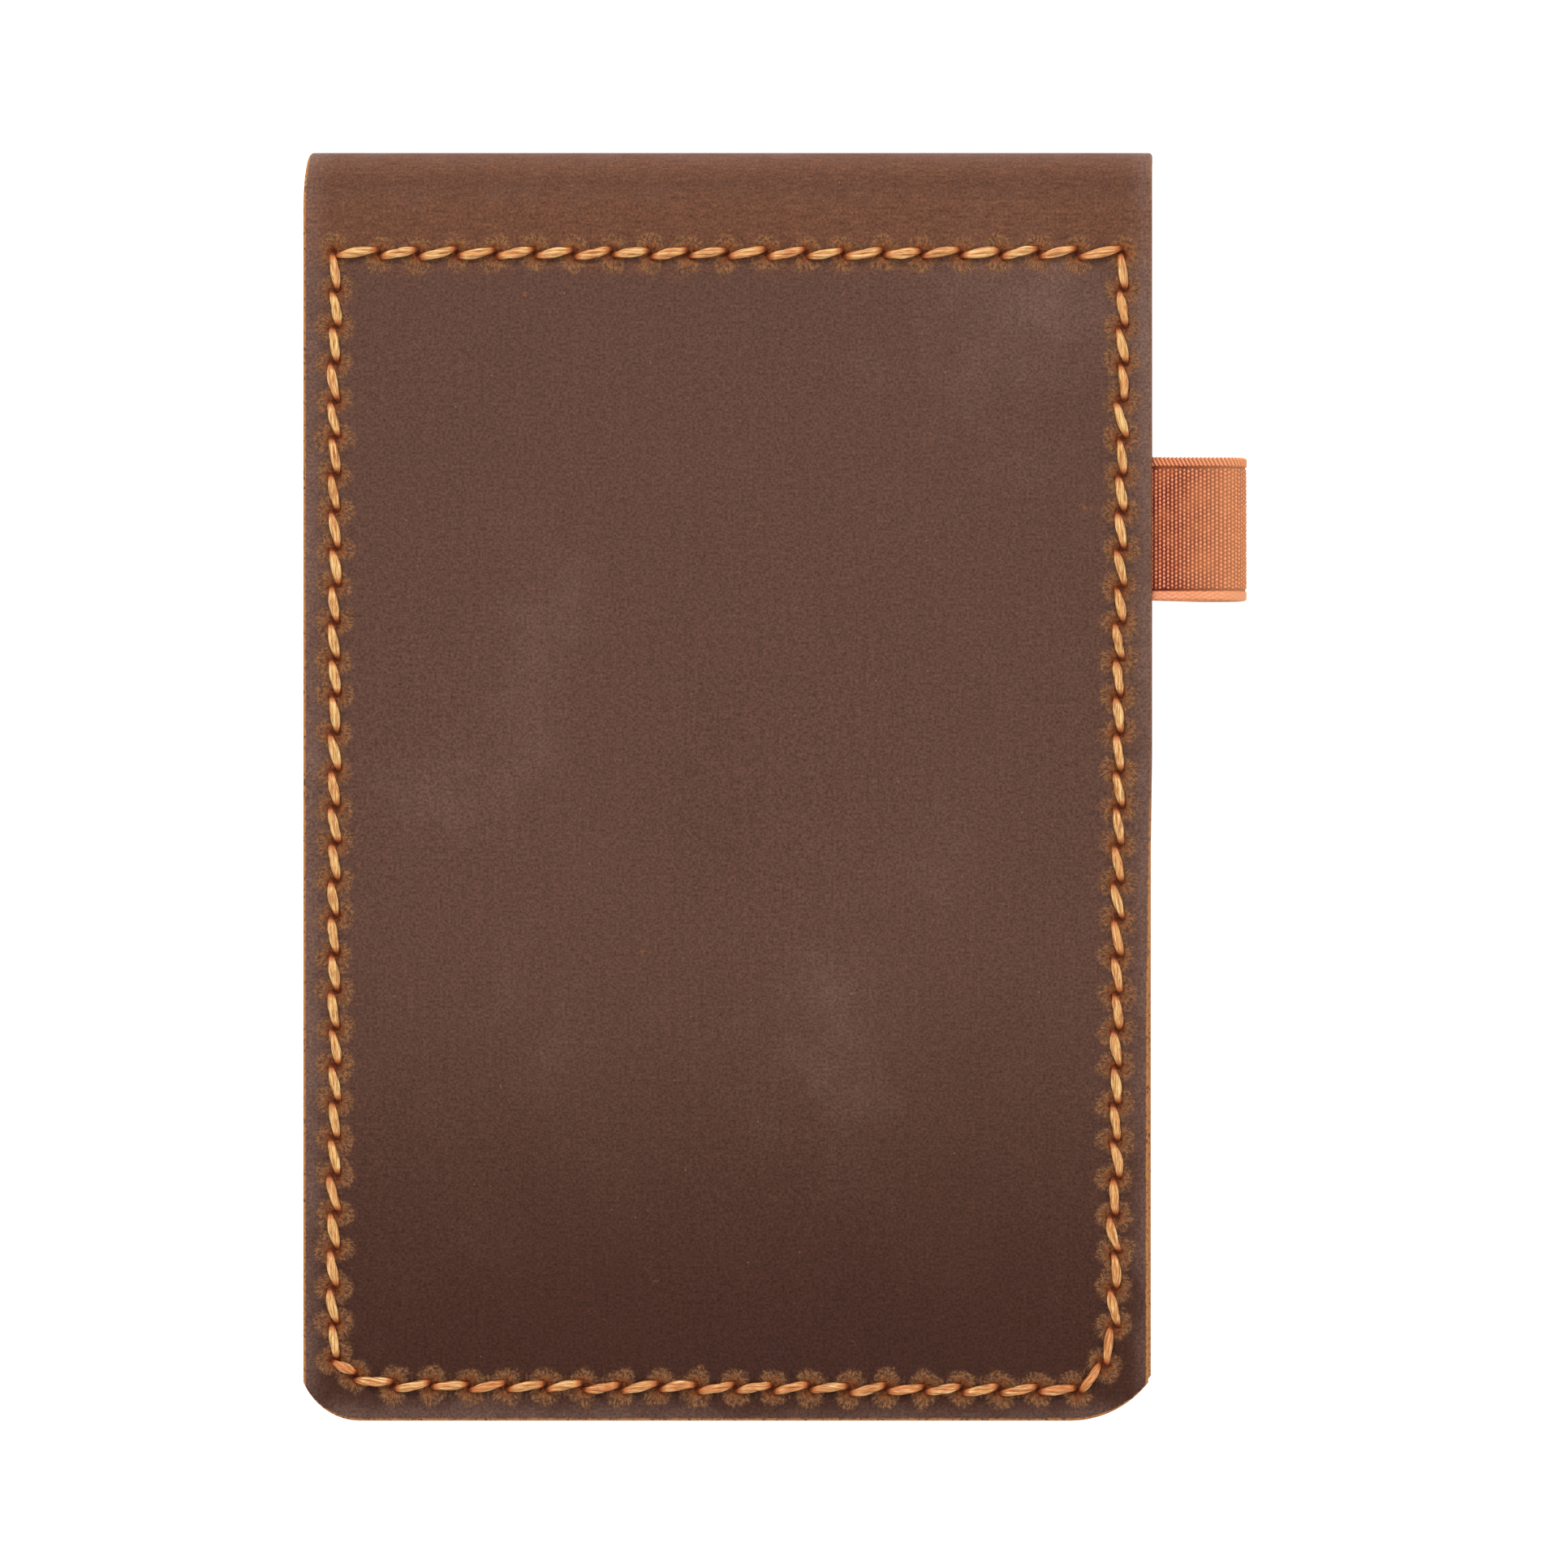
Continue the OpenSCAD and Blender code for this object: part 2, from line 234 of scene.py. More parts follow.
def seam_relief(x, y, rows, pit, trough):
    """How far sewing pulls the leather in, and where each point is from its nearest hole, in millimetres:
    along the seam, across it, and straight."""
    pull, pull_reach, trough_reach = 0.10 * MM, 1.5 * MM, 0.55 * MM
    slit_l, slit_w = 0.7, 0.3
    sunk = np.zeros_like(x)
    near = np.full(x.shape, FAR)
    offset = np.full(x.shape + (3,), FAR)
    for a, b in stitch_list(rows):
        step = b - a
        t = np.clip(((x - a[0]) * step[0] + (y - a[1]) * step[1]) / step.dot(step), 0, 1)
        gap = np.hypot(x - a[0] - t * step[0], y - a[1] - t * step[1])
        sunk = np.maximum(sunk, pull * np.exp(-((gap / pull_reach) ** 2)))
        sunk = np.maximum(sunk, trough * np.exp(-((gap / trough_reach) ** 2)))
    for p, along in hole_list(rows):
        dx, dy = (x - p[0]) / MM, (y - p[1]) / MM
        u = dx * along[0] + dy * along[1]
        v = dy * along[0] - dx * along[1]
        gap = np.hypot(u, v)
        closer = gap < near
        near = np.where(closer, gap, near)
        offset[closer] = np.stack([u, v, gap], axis=-1)[closer]
        long = (v - SLIT_LEAN * u) / 1.10
        wide = (u + SLIT_LEAN * v) / 1.10
        sunk = sunk + pit * np.exp(-((long / slit_l) ** 2) - (wide / slit_w) ** 2)
    return sunk, offset


# ---- meshes


def make_object(name, points, faces, sharp=math.radians(40)):
    """A closed, smooth mesh with its normals outwards."""
    mesh = bpy.data.meshes.new(name)
    mesh.from_pydata(np.asarray(points).tolist(), [], faces)
    bm = bmesh.new()
    bm.from_mesh(mesh)
    bmesh.ops.recalc_face_normals(bm, faces=bm.faces)
    bm.to_mesh(mesh)
    bm.free()
    mesh.shade_smooth()
    mesh.set_sharp_from_angle(angle=sharp)
    obj = bpy.data.objects.new(name, mesh)
    bpy.context.scene.collection.objects.link(obj)
    return obj


def set_vector(obj, name, values):
    """Gives each point of a mesh a named vector, for its material to read."""
    layer = obj.data.attributes.new(name, "FLOAT_VECTOR", "POINT")
    layer.data.foreach_set("vector", np.asarray(values, np.float32).ravel())


def set_float(obj, name, values):
    """Gives each point of a mesh a named number."""
    layer = obj.data.attributes.new(name, "FLOAT", "POINT")
    layer.data.foreach_set("value", np.asarray(values, np.float32).ravel())


def grid_faces(rows, cols, start=0):
    """Quads of a grid of points whose first one has the index start."""
    index = start + np.arange(rows * cols).reshape(rows, cols)
    quads = np.stack([index[:-1, :-1], index[:-1, 1:], index[1:, 1:], index[1:, :-1]], axis=-1)
    return quads.reshape(-1, 4).tolist()


def rim_order(rows, cols):
    """Indices of a grid's outside, once round."""
    index = np.arange(rows * cols).reshape(rows, cols)
    return np.concatenate([index[0, :-1], index[:-1, -1], index[-1, :0:-1], index[:0:-1, 0]])


def strips(ring_a, ring_b):
    """Quads between two closed rings of the same length."""
    return np.stack([ring_a, np.roll(ring_a, -1), np.roll(ring_b, -1), ring_b], axis=-1).tolist()


def shell_faces(rows, cols):
    """Faces of two grids of points, one after the other, joined round their rims."""
    ring, count = rim_order(rows, cols), rows * cols
    return grid_faces(rows, cols) + grid_faces(rows, cols, count) + strips(ring, ring + count)


def side_normals(route):
    """Unit normals of a line of points, to the left of its run."""
    tangent = np.gradient(route, axis=0)
    tangent /= np.linalg.norm(tangent, axis=1)[:, None]
    return np.stack([-tangent[:, 1], tangent[:, 0]], axis=-1)


def smooth(t):
    """Runs smoothly from 0 to 1 as t does."""
    t = np.clip(t, 0, 1)
    return t * t * (3 - 2 * t)


def rounding(distance, radius):
    """Drop of a rounded edge at a distance from it."""
    d = np.clip(distance, 0, radius)
    return radius - np.sqrt(radius**2 - (radius - d) ** 2)


def slab(name, xs, ss, depths, place, grain, plan=None, free=(True, True), relief=None, both=False, lift=None,
         radius=0.45 * MM):
    """A layer of leather between two depths. The first depth is its finished face, on the grid of xs and ss.
    plan moves grid points to the outline, free says which ends along s are edges, relief sinks the
    finished face, and lift moves both faces inwards. The other face is a grid too if both is set."""
    seen, hidden = depths
    rim_width = 0.7 * MM
    lip = 0.12 * MM
    inward = 1 if hidden > seen else -1
    x0, s0 = (a.ravel() for a in np.meshgrid(xs, ss))
    plan = plan or (lambda x, s: (x, s))
    lift = lift or (lambda x, s: 0 * x)
    low, high = xs[0], xs[-1]
    bottom, top = ss[0], ss[-1]

    def edge_distance(x, s):
        d = np.minimum(x - low, high - x)
        d = np.minimum(d, s - bottom) if free[0] else d
        return np.minimum(d, top - s) if free[1] else d

    def level(x, s, depth, gap, side):
        px, ps = plan(x, s)
        d = depth + inward * side * rounding(gap, radius) + lift(px, ps)
        return px, ps, d

    px, ps, depth = level(x0, s0, seen, edge_distance(x0, s0), 1)
    offset = np.full(px.shape + (3,), FAR)
    if relief:
        sunk, offset = relief(px, ps)
        depth = depth + inward * sunk
    points, coords = [place(px, ps, depth)], [grain(px, ps, depth)]
    rim = [1 - np.clip(edge_distance(x0, s0) / rim_width, 0, 1)]
    offsets = [offset]
    rows, cols = len(ss), len(xs)
    if both:
        px, ps, depth = level(x0, s0, hidden, edge_distance(x0, s0), -1)
        points.append(place(px, ps, depth))
        coords.append(grain(px, ps, depth))
        rim.append(rim[0])
        offsets.append(np.full(px.shape + (3,), FAR))
        faces = shell_faces(rows, cols)
    else:
        ring = rim_order(rows, cols)
        faces = grid_faces(rows, cols)
        last, count = ring, rows * cols
        for gap in (0, lip, radius):
            rx = np.clip(x0[ring], low + gap, high - gap)
            rs = np.clip(s0[ring], bottom + gap * free[0], top - gap * free[1])
            px, ps, depth = level(rx, rs, hidden, np.full(rx.shape, gap), -1)
            points.append(place(px, ps, depth))
            coords.append(grain(px, ps, depth))
            rim.append(np.ones(len(ring)))
            offsets.append(np.full(px.shape + (3,), FAR))
            new = count + np.arange(len(ring))
            faces += strips(last, new)
            last, count = new, count + len(ring)
        faces.append(last.tolist())
    obj = make_object(name, np.concatenate(points), faces)
    set_vector(obj, "grain", np.concatenate(coords))
    set_float(obj, "rim", np.concatenate(rim))
    set_vector(obj, "hole", np.concatenate(offsets))
    flat = np.concatenate(coords)
    set_float(obj, "tone", hide_tone(flat[:, 0], flat[:, 1]))
    return obj


# ---- materials


IN_MM = (1000, 1000, 1000)


class Shader:
    """A material whose nodes are added one call at a time."""

    def __init__(self, name):
        self.material = bpy.data.materials.new(name)
        self.material.use_nodes = True
        self.tree = self.material.node_tree
        self.tree.nodes.clear()
        output = self.tree.nodes.new("ShaderNodeOutputMaterial")
        self.surface = self.tree.nodes.new("ShaderNodeBsdfPrincipled")
        self.tree.links.new(self.surface.outputs[0], output.inputs["Surface"])

    def put(self, socket, value):
        """Links a socket to another one, or sets it to a constant."""
        if isinstance(value, bpy.types.NodeSocket):
            self.tree.links.new(value, socket)
        else:
            socket.default_value = value

    def node(self, kind, inputs=(), **settings):
        """Adds a node. Inputs go by name or number, settings are its own properties."""
        made = self.tree.nodes.new("ShaderNode" + kind)
        for key, value in settings.items():
            setattr(made, key, value)
        for key, value in dict(inputs).items():
            self.put(made.inputs[key], value)
        return made

    def math(self, operation, a, b=0.0):
        return self.node("Math", {0: a, 1: b}, operation=operation).outputs[0]

    def times(self, a, b):
        return self.math("MULTIPLY", a, b)

    def plus(self, a, b):
        return self.math("ADD", a, b)

    def minus(self, a, b):
        return self.math("SUBTRACT", a, b)

    def apart(self, a, b):
        """How far two values are from each other."""
        return self.math("ABSOLUTE", self.minus(a, b))

    def vector(self, operation, a, b):
        return self.node("VectorMath", {0: a, 1: b}, operation=operation).outputs["Vector"]

    def attribute(self, name):
        return self.node("Attribute", attribute_name=name)

    def stretch(self, vector, scale):
        return self.vector("MULTIPLY", vector, scale)

    def noise(self, vector, scale, detail=2.0, roughness=0.5):
        inputs = {"Vector": vector, "Scale": scale, "Detail": detail, "Roughness": roughness}
        return self.node("TexNoise", inputs).outputs["Fac"]

    def cells(self, vector, scale, feature="F1"):
        made = self.node("TexVoronoi", {"Vector": vector, "Scale": scale}, feature=feature)
        return made.outputs["Distance"]

    def fade(self, value, low, high, to_low=0.0, to_high=1.0):
        """Runs smoothly from to_low to to_high as value goes from low to high."""
        inputs = {"Value": value, "From Min": low, "From Max": high, "To Min": to_low, "To Max": to_high}
        return self.node("MapRange", inputs, interpolation_type="SMOOTHSTEP").outputs[0]

    def mix(self, factor, a, b):
        """Colour a where the factor is 0 and colour b where it is 1."""
        made = self.node("Mix", data_type="RGBA")
        self.put(made.inputs[0], factor)
        self.put(made.inputs[6], a)
        self.put(made.inputs[7], b)
        return made.outputs[2]

    def shade(self, colour, value, low, high, dark, light):
        """Multiplies a colour by dark to light as value goes from low to high."""
        inputs = {"Value": value, "From Min": low, "From Max": high, "To Min": dark, "To Max": light}
        factor = self.node("MapRange", inputs).outputs[0]
        return self.node("VectorMath", {0: colour, "Scale": factor}, operation="SCALE").outputs[0]

    def split(self, vector):
        return self.node("SeparateXYZ", {0: vector}).outputs

    def bump(self, height, distance, strength):
        return self.node("Bump", {"Height": height, "Distance": distance, "Strength": strength}).outputs[0]

    def finish(self, **sockets):
        """Fills the shader's own sockets and hands over the material."""
        for name, value in sockets.items():
            self.put(self.surface.inputs[name.replace("_", " ")], value)
        return self.material


def rgb(red, green, blue, light=1.45):
    """The linear colour that a shader takes, from one given as 0 to 255 as it should look under the lamps."""
    seen = (c / 255 for c in (red, green, blue))
    linear = [c / 12.92 if c <= 0.04045 else ((c + 0.055) / 1.055) ** 2.4 for c in seen]
    return (*[c / light for c in linear], 1.0)


def hide_coordinates(shader):
    """Coordinates of the unrolled hide, in millimetres."""
    return shader.stretch(shader.attribute("grain").outputs["Vector"], IN_MM)


def piece_coordinates(shader):
    """Coordinates of the piece itself, in millimetres."""
    return shader.stretch(shader.node("TexCoord").outputs["Object"], IN_MM)


def raw_edge(shader, place, colour, bare, dark):
    """Paints the cut edge of a piece of leather, rubbed unevenly."""
    rim = shader.attribute("rim").outputs["Fac"]
    ragged = shader.noise(place, 1.6, 3.0)
    edge = shader.fade(shader.plus(rim, shader.times(ragged, 0.5)), 0.72, 1.0)
    across, along, _ = shader.split(place)
    covered = shader.times(shader.fade(across, 43.0, 44.5), shader.fade(along, 60.0, 72.0))
    edge = shader.times(edge, shader.minus(1.0, shader.times(covered, 0.8)))
    specks = shader.fade(shader.noise(place, 2.2, 3.0, 0.7), 0.52, 0.66)
    cut = shader.mix(specks, bare, dark)
    return shader.mix(edge, colour, cut)


def outer_leather():
    """Dark pull-up leather: cloudy, finely grained, darker at its foot and browner over the fold, with
    painted shade in a band where the fold turns towards the key lamp.
    """
    sh = Shader("outer_leather")
    place = hide_coordinates(sh)
    _, along, _ = sh.split(place)
    tone = sh.attribute("tone").outputs["Fac"]
    clouds = sh.noise(place, 0.09, 4.0, 0.6)
    blotches = sh.noise(place, 0.22, 4.0, 0.65)
    tone = sh.plus(tone, sh.times(sh.minus(clouds, 0.5), 0.5))
    tone = sh.plus(tone, sh.times(sh.minus(blotches, 0.5), 0.4))
    foot = sh.fade(sh.plus(along, sh.times(clouds, 10.0)), 62.0, 8.0)
    band = sh.fade(sh.plus(along, sh.times(blotches, 6.0)), 126.0, 131.0)
    colour = sh.mix(foot, rgb(96, 65, 53), rgb(68, 38, 27))
    colour = sh.mix(sh.times(band, 0.85), colour, rgb(112, 70, 49))
    colour = sh.mix(sh.fade(tone, 0.0, 1.0, 0.0, 0.9), colour, rgb(138, 108, 96))
    colour = sh.mix(sh.fade(tone, 0.0, -1.0, 0.0, 0.9), colour, rgb(58, 36, 30))
    streaks = sh.noise(sh.stretch(place, (0.35, 1.6, 1)), 1.3, 4.0, 0.6)
    colour = sh.mix(sh.times(band, sh.fade(streaks, 0.5, 0.75, 0.0, 0.5)), colour, rgb(136, 88, 58))
    colour = sh.mix(sh.times(band, sh.fade(streaks, 0.5, 0.3, 0.0, 0.4)), colour, rgb(78, 46, 32))
    # Painted shade: the fold is darkened in a band about 2.6 mm either side of the line where its slope turns
    # towards the key lamp
    painted_shade_gap = sh.apart(along, 134.2)
    colour = sh.shade(colour, painted_shade_gap, 0.0, 2.6, 0.78, 1.0)
    upright = sh.noise(sh.stretch(place, (1.8, 0.14, 1)), 0.7, 3.0)
    colour = sh.shade(colour, upright, 0.35, 0.65, 0.97, 1.03)
    fine = sh.noise(place, 3.4, 2.0, 0.7)
    colour = sh.shade(colour, fine, 0.3, 0.7, 0.58, 1.42)
    coarse = sh.noise(place, 1.3, 3.0, 0.6)
    colour = sh.shade(colour, coarse, 0.3, 0.7, 0.88, 1.12)
    colour = scratched(sh, colour, place)
    colour = pull_up(sh, colour, place)
    colour = raw_edge(sh, place, colour, rgb(194, 128, 68), rgb(84, 44, 20))
    creases = sh.cells(sh.stretch(place, (1, 1.5, 1)), 1.1, "SMOOTH_F1")
    height = sh.plus(sh.times(fine, 0.6), sh.times(creases, 0.5))
    normal = sh.bump(height, 0.04 * MM, 0.7)
    roughness = sh.fade(blotches, 0.3, 0.7, 0.55, 0.7)
    return sh.finish(Base_Color=colour, Roughness=roughness, Normal=normal, Specular_IOR_Level=0.1)


def scratched(sh, colour, place):
    """A few light scuffs and pinprick specks."""
    lines = sh.noise(sh.stretch(place, (0.5, 0.9, 1)), 0.24, 2.0, 0.5)
    thin = sh.fade(sh.apart(lines, 0.5), 0.0028, 0.0008)
    rare = sh.fade(sh.noise(place, 0.16, 2.0), 0.60, 0.66)
    broken = sh.fade(sh.noise(place, 1.8, 2.0), 0.45, 0.6)
    shown = sh.times(sh.times(thin, rare), broken)
    colour = sh.mix(sh.times(shown, 0.6), colour, rgb(160, 96, 58))
    specks = sh.fade(sh.cells(place, 0.34), 0.035, 0.02)
    return sh.mix(sh.times(specks, 0.55), colour, rgb(170, 132, 104))


def pull_up(sh, colour, place):
    """The light halo round each hole, where the thread has pulled the oil out of the leather."""
    hole = sh.attribute("hole").outputs["Vector"]
    along, aside, reach = sh.split(hole)
    angle = sh.math("ARCTAN2", aside, along)
    fan = sh.node("CombineXYZ", {0: sh.times(angle, 4.0), 1: sh.times(reach, 0.8)}).outputs[0]
    fan = sh.vector("ADD", fan, sh.stretch(place, (0.43, 0.37, 0)))
    fibres = sh.noise(fan, 2.6, 4.0, 0.75)
    fuzz = sh.noise(place, 2.4, 3.0, 0.75)
    lobes = sh.times(sh.math("ABSOLUTE", sh.math("SINE", angle)), 0.5)
    size = sh.plus(lobes, sh.times(sh.noise(place, 0.4, 1.0), 1.5))
    ragged = sh.minus(reach, sh.times(fibres, 0.9))
    ragged = sh.minus(ragged, sh.times(fuzz, 0.9))
    ragged = sh.minus(ragged, size)
    halo = sh.fade(ragged, 0.15, -0.5)
    threads = sh.plus(sh.times(fibres, 0.6), sh.times(fuzz, 0.4))
    tone = sh.mix(sh.fade(threads, 0.44, 0.58), rgb(84, 54, 38), rgb(164, 112, 70))
    tone = sh.mix(sh.fade(reach, 1.5, 0.7, 0.0, 0.8), tone, rgb(150, 82, 34))
    tone = sh.mix(sh.times(sh.fade(reach, 1.2, 0.6), sh.fade(threads, 0.54, 0.46)), tone, rgb(72, 30, 12))
    colour = sh.mix(sh.times(halo, 0.8), colour, tone)
    long = sh.minus(aside, sh.times(along, SLIT_LEAN))
    wide = sh.math("DIVIDE", sh.plus(along, sh.times(aside, SLIT_LEAN)), 0.42)
    slit = sh.plus(sh.math("POWER", long, 2.0), sh.math("POWER", wide, 2.0))
    shown = sh.times(sh.fade(slit, 1.0, 0.35), sh.fade(reach, 1.4, 1.1))
    return sh.mix(shown, colour, rgb(98, 40, 14))


def lining_leather():
    """Brown lining: smoother and warmer, with the raw tan of the cut edge."""
    sh = Shader("lining_leather")
    place = hide_coordinates(sh)
    clouds = sh.noise(place, 0.06, 3.0)
    grain = sh.noise(place, 2.2, 4.0, 0.6)
    creases = sh.cells(place, 1.1)
    colour = sh.mix(sh.fade(clouds, 0.35, 0.65), rgb(120, 76, 50), rgb(142, 94, 64))
    colour = sh.mix(sh.fade(grain, 0.5, 0.75, 0.0, 0.4), colour, rgb(172, 122, 86))
    colour = sh.mix(sh.fade(grain, 0.48, 0.28, 0.0, 0.4), colour, rgb(84, 50, 32))
    colour = pull_up(sh, colour, place)
    colour = raw_edge(sh, place, colour, rgb(204, 134, 70), rgb(84, 42, 18))
    height = sh.plus(sh.times(grain, 0.7), sh.times(creases, 0.6))
    normal = sh.bump(height, 0.045 * MM, 0.8)
    return sh.finish(Base_Color=colour, Normal=normal, Roughness=0.62, Specular_IOR_Level=0.35)


def waxed_thread():
    """Tan thread of parallel strands, cream in the middle of a stitch and darker and browner towards the
    holes.
    """
    sh = Shader("waxed_thread")
    round_it, along, tint = sh.split(sh.attribute("strand").outputs["Vector"])
    stretched = {0: sh.times(round_it, 1.8), 1: sh.times(along, 1.4), 2: sh.times(tint, 40.0)}
    fibre = sh.node("CombineXYZ", stretched).outputs[0]
    streaks = sh.noise(fibre, 2.0, 4.0, 0.6)
    colour = sh.mix(tint, rgb(242, 190, 116), rgb(226, 142, 76))
    colour = sh.mix(sh.fade(streaks, 0.52, 0.40, 0.0, 0.8), colour, rgb(176, 96, 38))
    colour = sh.mix(sh.fade(streaks, 0.54, 0.66, 0.0, 0.85), colour, rgb(255, 228, 164))
    # Darker and browner towards both ends of a stitch, where it dives into the holes
    middle = sh.apart(along, 0.5)
    ragged = sh.plus(middle, sh.times(sh.minus(streaks, 0.5), 0.16))
    colour = sh.mix(sh.fade(ragged, 0.26, 0.36, 0.0, 0.9), colour, rgb(196, 104, 42))
    colour = sh.mix(sh.fade(ragged, 0.35, 0.44), colour, rgb(128, 58, 20))
    normal = sh.bump(streaks, 0.06 * MM, 0.7)
    return sh.finish(Base_Color=colour, Normal=normal, Roughness=0.5, Specular_IOR_Level=0.4)


def rust_elastic():
    """Knitted elastic with fluff, its rust colour carrying painted light: painted shade in the grooves
    between the beads, a painted highlight on their tops, and painted shade near the leather's edge.
    """
    sh = Shader("rust_elastic")
    knit = sh.attribute("knit").outputs["Vector"]
    height, along, _ = sh.split(knit)
    fluff = sh.noise(sh.stretch(knit, (0, 1000, 1000)), 5.0, 3.0, 0.7)
    patch = sh.noise(sh.stretch(knit, (0, 1000, 1000)), 0.35, 2.0)
    # Painted light: colour runs with the knit's height, from painted shade in the grooves to a painted
    # highlight on the tops of the beads
    lit = sh.plus(height, sh.times(sh.minus(fluff, 0.5), 0.7))
    colour = sh.mix(sh.fade(lit, 0.12, 0.62), rgb(84, 12, 4), rgb(218, 108, 74))
    colour = sh.mix(sh.fade(lit, 0.5, 0.9), colour, rgb(255, 178, 134))
    colour = sh.mix(sh.fade(patch, 0.4, 0.7, 0.0, 0.25), colour, rgb(232, 138, 78))
    # Painted shade near the leather's edge: the elastic is painted lighter from 6 to 17 mm along it
    painted_light_out = sh.fade(along, 6 * MM, 17 * MM)
    colour = sh.mix(sh.times(painted_light_out, 0.5), colour, rgb(250, 172, 116))
    normal = sh.bump(fluff, 0.05 * MM, 0.6)
    return sh.finish(Base_Color=colour, Normal=normal, Roughness=0.85, Sheen_Weight=0.35,
                     Sheen_Tint=rgb(255, 196, 140), Specular_IOR_Level=0.2)


def ruled_paper():
    """Cream sheets with faint blue ruling across them."""
    sh = Shader("ruled_paper")
    place = piece_coordinates(sh)
    _, along, _ = sh.split(place)
    wave = sh.math("FRACT", sh.math("DIVIDE", sh.plus(along, 80.0), 7.1))
    line = sh.fade(sh.apart(wave, 0.5), 0.022, 0.012)
    pulp = sh.noise(place, 1.5, 4.0)
    paper = sh.mix(sh.fade(pulp, 0.35, 0.65), rgb(240, 233, 214), rgb(250, 245, 230))
    below = sh.fade(along, 54.5, 54.0)
    facing = sh.split(sh.node("NewGeometry").outputs["Normal"])[2]
    below = sh.times(below, sh.fade(facing, 0.7, 0.9))
    ruled = sh.times(sh.times(line, below), 0.55)
    colour = sh.mix(ruled, paper, rgb(120, 156, 190))
    normal = sh.bump(pulp, 0.02 * MM, 0.5)
    return sh.finish(Base_Color=colour, Normal=normal, Roughness=0.85, Specular_IOR_Level=0.2)


def grey_board():
    """Grey board with darker flecks of pulp."""
    sh = Shader("grey_board")
    place = piece_coordinates(sh)
    pulp = sh.noise(place, 0.9, 5.0, 0.7)
    fleck = sh.noise(sh.stretch(place, (1, 2.5, 1)), 2.5, 2.0)
    colour = sh.mix(sh.fade(pulp, 0.35, 0.65), rgb(148, 136, 118), rgb(172, 160, 142))
    colour = sh.mix(sh.fade(fleck, 0.62, 0.72, 0.0, 0.6), colour, rgb(96, 84, 70))
    normal = sh.bump(pulp, 0.03 * MM, 0.6)
    return sh.finish(Base_Color=colour, Normal=normal, Roughness=0.9)


def book_cloth():
    """Dark binding strip with a plain weave."""
    sh = Shader("book_cloth")
    place = piece_coordinates(sh)
    across, along, up = sh.split(place)
    turns = 2 * math.pi / 0.5
    warp = sh.math("SINE", sh.times(across, turns))
    weft = sh.math("SINE", sh.times(sh.plus(along, up), turns))
    weave = sh.times(warp, weft)
    uneven = sh.noise(place, 0.7, 3.0)
    colour = sh.mix(sh.fade(weave, -1.0, 1.0), rgb(54, 34, 26), rgb(86, 58, 44))
    colour = sh.mix(sh.fade(uneven, 0.4, 0.7, 0.0, 0.5), colour, rgb(68, 44, 32))
    normal = sh.bump(weave, 0.03 * MM, 0.7)
    return sh.finish(Base_Color=colour, Normal=normal, Roughness=0.7)


def pale_floor():
    """White table that glows a little, so that it stays white in every view."""
    sh = Shader("pale_floor")
    place = sh.node("TexCoord").outputs["Object"]
    speckle = sh.noise(place, 40.0, 2.0)
    colour = sh.mix(speckle, rgb(247, 247, 247), rgb(250, 250, 250))
    return sh.finish(Base_Color=colour, Roughness=0.9, Specular_IOR_Level=0.1,
                     Emission_Color=(1.0, 1.0, 1.0, 1.0), Emission_Strength=0.75)


MATERIALS = {
    "leather_outer": outer_leather(),
    "leather_lining": lining_leather(),
    "thread": waxed_thread(),
    "elastic": rust_elastic(),
    "board": grey_board(),
    "paper": ruled_paper(),
    "binding": book_cloth(),
}


def dress(obj, slot):
    """Gives a piece its material."""
    obj.data.materials.clear()
    obj.data.materials.append(MATERIALS[slot])
    return obj


# ---- leather pieces


def cover_plan(inset, s_end, notch=0.0, trim=0.0):
    """Moves grid points onto a panel's outline, with an optional thumb notch in its far end."""
    low = -HALF_W + inset
    high = HALF_W - inset
    trim_s, trim_run = 72 * MM, 30 * MM
    trim_x, trim_width = 30 * MM, 12 * MM
    notch_run = 24 * MM

    def plan(x, s):
        # Low down on the right, the hide is cut short of the lining
        short = trim * np.clip((trim_s - s) / trim_run, 0, 1) * np.clip((x - trim_x) / trim_width, 0, 1)
        x = x - short
        if notch:
            dip = np.sqrt(np.clip(notch**2 - x**2, 0, None))
            share = np.clip((s - (s_end - notch_run)) / notch_run, 0, 1)
            s = s - dip * share
        return corner_round(x, s, low, inset, CORNERS, high)

    return plan


def seam_bands():
    """Bands of x and of s that hold the seams, where grids are finer."""
    reach = 1.6 * MM
    x_bands = [(X_SEAM_LEFT - reach, X_SEAM_LEFT + reach), (X_SEAM_RIGHT_LOW - reach, X_SEAM_RIGHT + reach)]
    s_bands = [(y - Y_BOTTOM - reach, y - Y_BOTTOM + reach) for y in (Y_SEAM_TOP, Y_SEAM_LEFT, Y_SEAM_RIGHT)]
    return x_bands, s_bands


# Soft clouds of the hide: middle in x and s, reach in x and s, all in millimetres, and strength
CLOUDS = [
    (34, 123, 9, 8, 0.22), (27, 115, 18, 16, 0.16), (-21, 84, 7, 22, 0.22), (-33, 68, 6, 6, 0.2),
    (23, 61, 7, 9, 0.15), (10, 42, 7, 13, 0.25), (-2, 70, 8, 15, -0.2), (34, 53, 9, 14, -0.15),
    (-25, 107, 11, 15, -0.15), (-20, 45, 12, 12, 0.08), (12, 9, 26, 8, -0.3),
]


